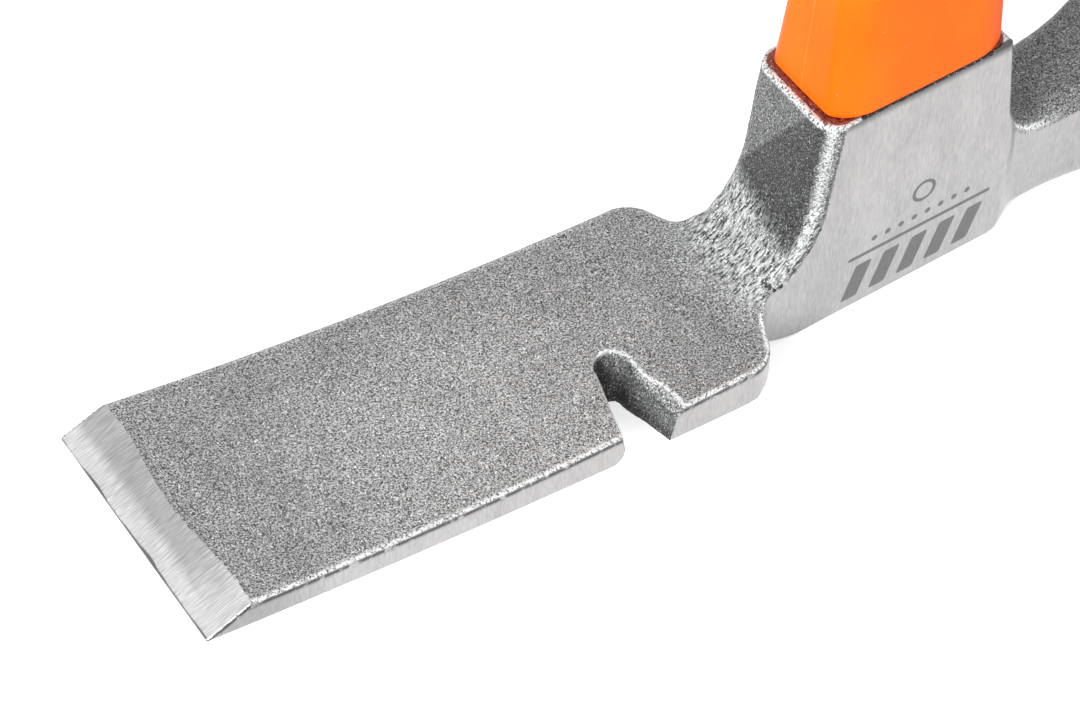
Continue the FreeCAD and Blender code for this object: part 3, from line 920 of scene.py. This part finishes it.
def black_finish():
    """Hard black plastic with a spark-eroded surface and a few pale scuffs."""
    f = Finish("black_plastic")
    spark = f.noise(0.4, detail=2.0)
    scuffs = f.band(f.noise(1.2, detail=3.0, stretch=(7, 7, 1), turn=20, shift=0.4), 0.62, 0.72)
    colour = f.blend(spark, (0.012, 0.012, 0.013, 1.0), (0.022, 0.022, 0.024, 1.0))
    colour = f.blend(f.math("MULTIPLY", scuffs, 0.3), colour, (0.12, 0.12, 0.12, 1.0))
    return f.done(colour, f.math("MULTIPLY_ADD", scuffs, 0.2, 0.36), f.bump(spark, 0.03))


def seal_finish():
    """Hardened red-brown adhesive with bright grit in it."""
    f = Finish("seal")
    lumps = f.noise(0.8, detail=3.0, roughness=0.65)
    grit = f.band(f.noise(0.35, detail=1.0, shift=0.6), 0.68, 0.76)
    colour = f.blend(f.band(lumps, 0.32, 0.68), (0.055, 0.010, 0.007, 1.0), (0.24, 0.050, 0.030, 1.0))
    colour = f.blend(grit, colour, (0.75, 0.55, 0.45, 1.0))
    return f.done(colour, f.math("MULTIPLY_ADD", lumps, 0.3, 0.25), f.bump(lumps, 0.12))


def resin_finish():
    """Cured amber epoxy with small bubbles and clouds."""
    f = Finish("resin")
    clouds = f.noise(4.0, detail=4.0)
    bubbles = f.band(f.noise(0.8, detail=1.0, shift=0.8), 0.68, 0.74)
    colour = f.blend(f.band(clouds, 0.3, 0.7), (0.34, 0.17, 0.05, 1.0), (0.52, 0.31, 0.11, 1.0))
    colour = f.blend(f.math("MULTIPLY", bubbles, 0.6), colour, (0.16, 0.07, 0.02, 1.0))
    return f.done(colour, f.math("MULTIPLY_ADD", clouds, 0.3, 0.15), f.bump(bubbles, 0.08))


def fibre_finish():
    """Pultruded fibreglass: long pale fibres in straw-coloured resin."""
    f = Finish("fibreglass")
    fibres = f.noise(0.25, detail=2.0, stretch=(1, 1, 120))
    colour = f.blend(f.band(fibres, 0.3, 0.7), (0.42, 0.38, 0.17, 1.0), (0.72, 0.70, 0.45, 1.0))
    return f.done(colour, f.math("MULTIPLY_ADD", fibres, 0.3, 0.35), f.bump(fibres, 0.02))


# ---------------------------------------------------------------- stage

def make_stage():
    """A wide pale floor that glows slightly, like a light table."""
    reach = 3.0
    corners = [(-reach, -reach, 0), (reach, -reach, 0), (reach, reach, 0), (-reach, reach, 0)]
    mesh = bpy.data.meshes.new("floor")
    mesh.from_pydata(corners, [], [(0, 1, 2, 3)])
    floor = bpy.data.objects.new("floor", mesh)
    bpy.context.scene.collection.objects.link(floor)
    material = bpy.data.materials.new("pale_floor")
    material.use_nodes = True
    shader = material.node_tree.nodes["Principled BSDF"]
    shader.inputs["Base Color"].default_value = (0.9, 0.9, 0.9, 1)
    shader.inputs["Roughness"].default_value = 0.9
    shader.inputs["Emission Color"].default_value = (1, 1, 1, 1)
    shader.inputs["Emission Strength"].default_value = 0.5
    mesh.materials.append(material)


def make_camera():
    """Looks down on the blade from the front, over its -Y edge, through a long lens."""
    azimuth, elevation = math.radians(-33.55), math.radians(50.8)
    distance = 0.5177
    target = np.array([-67.4, 0.0, 12.66]) * MM
    level = math.cos(elevation)
    back = np.array([math.sin(azimuth) * level, -math.cos(azimuth) * level, math.sin(elevation)])
    data = bpy.data.cameras.new("camera")
    data.lens = 106.28
    data.sensor_width = 36.0
    camera = bpy.data.objects.new("camera", data)
    camera.location = target + back * distance
    camera.rotation_euler = (math.pi / 2 - elevation, 0, azimuth)
    bpy.context.scene.collection.objects.link(camera)
    bpy.context.scene.camera = camera


def make_world():
    """A soft sky: bright overhead, dimmer low down."""
    world = bpy.data.worlds.new("studio")
    world.use_nodes = True
    tree = world.node_tree
    direction = tree.nodes.new("ShaderNodeTexCoord")
    split = tree.nodes.new("ShaderNodeSeparateXYZ")
    sky = tree.nodes.new("ShaderNodeMapRange")
    sky.inputs["From Min"].default_value = 0.0
    sky.inputs["From Max"].default_value = 1.0
    sky.inputs["To Min"].default_value = 0.55
    sky.inputs["To Max"].default_value = 1.0
    background = tree.nodes["Background"]
    background.inputs["Color"].default_value = (1, 1, 1, 1)
    tree.links.new(direction.outputs["Generated"], split.inputs[0])
    tree.links.new(split.outputs["Z"], sky.inputs["Value"])
    tree.links.new(sky.outputs["Result"], background.inputs["Strength"])
    bpy.context.scene.world = world


def make_softbox(name, place, size, power):
    """A square lamp that faces the head."""
    data = bpy.data.lights.new(name, "AREA")
    data.energy = power
    data.size = size
    lamp = bpy.data.objects.new(name, data)
    lamp.location = place
    middle_of_head = np.array([-0.05, 0.0, 0.02])
    towards = Vector(middle_of_head - np.array(place))
    lamp.rotation_euler = towards.to_track_quat("-Z", "Y").to_euler()
    bpy.context.scene.collection.objects.link(lamp)


make_head()
make_handle()
make_stage()
make_camera()
make_world()
make_softbox("key", place=(-0.66, -0.31, 0.36), size=0.25, power=8.0)
bpy.context.scene.view_settings.view_transform = "Standard"
